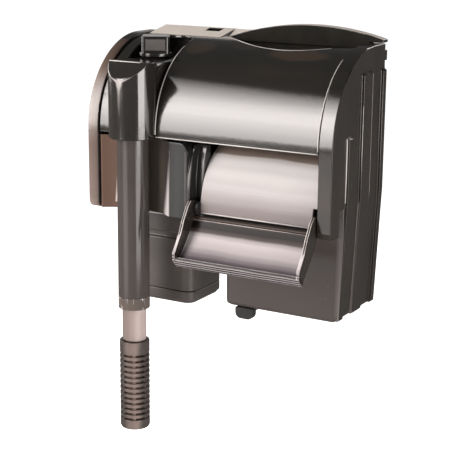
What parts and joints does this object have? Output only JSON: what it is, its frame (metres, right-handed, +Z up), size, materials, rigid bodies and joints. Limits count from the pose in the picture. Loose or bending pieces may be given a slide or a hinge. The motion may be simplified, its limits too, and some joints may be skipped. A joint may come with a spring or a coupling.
{
  "type": "hang on back aquarium filter",
  "caption": "Power filter that hooks over a tank's rim, with a curved lid, a tilting waterfall spout, an intake tube with a telescopic strainer, and an external pump.",
  "frame": {"origin": "centre of the body's width, on the underside of the hook where it rests on the top edge of the glass", "axes": "-Y faces into the tank (the side with the waterfall), +X is to the right seen from inside the tank, +Z is up"},
  "size_m": [0.1918, 0.1106, 0.2896],
  "materials": {
    "smoke_shell": "smoke-brown tinted, polished",
    "smoke_brown": "smoke-brown tinted, polished",
    "apron_gloss": "polished, catches the light along its crown",
    "smoke_lid": "smoke-brown tinted, high gloss",
    "spout_gloss": "tinted, high gloss",
    "smoke_column": "dark smoke, high gloss",
    "smoke_tube": "dark smoke, gloss",
    "clear_collar": "translucent smoke",
    "clear_tube": "translucent smoke",
    "knob_plastic": "gloss",
    "grey_plastic": "satin",
    "black_plastic": "fine satin",
    "strainer_plastic": "satin",
    "pump_plastic": "satin with a fine texture",
    "rubber_seal": "soft",
    "steel": "stainless",
    "core_steel": "laminated",
    "copper": "enamelled copper wire",
    "white_plastic": "satin",
    "magnet": "coated ferrite",
    "ceramic": "polished alumina",
    "blue_plastic": "satin",
    "floss": "spun polyester floss",
    "carbon_pad": "carbon-loaded floss",
    "sponge": "open-cell foam"
  },
  "bodies": {
    "body": {"filter_body": "smoke_shell", "front_frame": "smoke_brown", "spillway_apron": "apron_gloss", "frame_clips": "black_plastic", "spout_pivot_pins": "black_plastic", "intake_elbow": "smoke_column", "elbow_seal": "rubber_seal", "upper_intake_tube": "smoke_tube", "tube_collar": "clear_collar", "pump_housing": "pump_plastic", "pump_bottom_cap": "pump_plastic", "pump_cap_screws": "steel", "pump_gasket": "rubber_seal", "stator_core": "core_steel", "stator_coil": "copper", "impeller_cover": "grey_plastic", "ceramic_shaft": "ceramic", "shaft_bushes": "rubber_seal", "cable_gland": "rubber_seal", "media_basket": "black_plastic", "bio_sponge": "sponge", "levelling_bracket": "pump_plastic"},
    "lid": {"lid": "smoke_lid", "lid_catch": "grey_plastic"},
    "spout": {"spout_flap": "spout_gloss"},
    "knob": {"flow_knob": "knob_plastic", "flow_knob_face": "grey_plastic", "flow_knob_seal": "rubber_seal", "flow_valve_plate": "black_plastic"},
    "extension": {"extension_tube": "clear_tube", "strainer": "strainer_plastic", "strainer_end_cap": "strainer_plastic"},
    "rotor": {"impeller": "white_plastic", "rotor_magnet": "magnet"},
    "front_cartridge": {"front_cartridge_frame": "blue_plastic", "front_floss_pad": "floss"},
    "rear_cartridge": {"rear_cartridge_frame": "blue_plastic", "rear_floss_pad": "carbon_pad"},
    "level_pad": {"levelling_pad": "rubber_seal"},
    "level_screw": {"levelling_screw": "steel"}
  },
  "joints": [
    {"name": "lid_lift", "type": "slide", "parent": "body", "child": "lid", "axis": [0, 0, 1], "range_m": [0, 0.09]},
    {"name": "spout_tilt", "type": "hinge", "parent": "body", "child": "spout", "pos_m": [0.0365, -0.0085, -0.0085], "axis": [-1, 0, 0], "range_deg": [-12, 35]},
    {"name": "flow_knob_turn", "type": "hinge", "parent": "body", "child": "knob", "pos_m": [-0.0568, 0.015, 0.09], "axis": [0, 0, 1], "range_deg": [-30, 60]},
    {"name": "extension_slide", "type": "slide", "parent": "body", "child": "extension", "axis": [0, 0, -1], "range_m": [-0.022, 0.045]},
    {"name": "impeller_spin", "type": "hinge", "parent": "body", "child": "rotor", "pos_m": [-0.0568, 0.034, -0.02], "axis": [0, 0, 1], "continuous": true},
    {"name": "front_cartridge_lift", "type": "slide", "parent": "body", "child": "front_cartridge", "axis": [0, 0, 1], "range_m": [0, 0.045]},
    {"name": "rear_cartridge_lift", "type": "slide", "parent": "body", "child": "rear_cartridge", "axis": [0, 0, 1], "range_m": [0, 0.045]},
    {"name": "level_advance", "type": "slide", "parent": "body", "child": "level_pad", "axis": [0, -1, 0], "range_m": [0, 0.01]},
    {"name": "level_screw_turn", "type": "hinge", "parent": "level_pad", "child": "level_screw", "pos_m": [0.02, 0.02, -0.0846], "axis": [0, 1, 0], "range_deg": [-2880, 2880]}
  ],
  "couplings": [
    {"joint": "level_screw_turn", "follows": "level_advance", "rad_per_m": 4188.8}
  ]
}
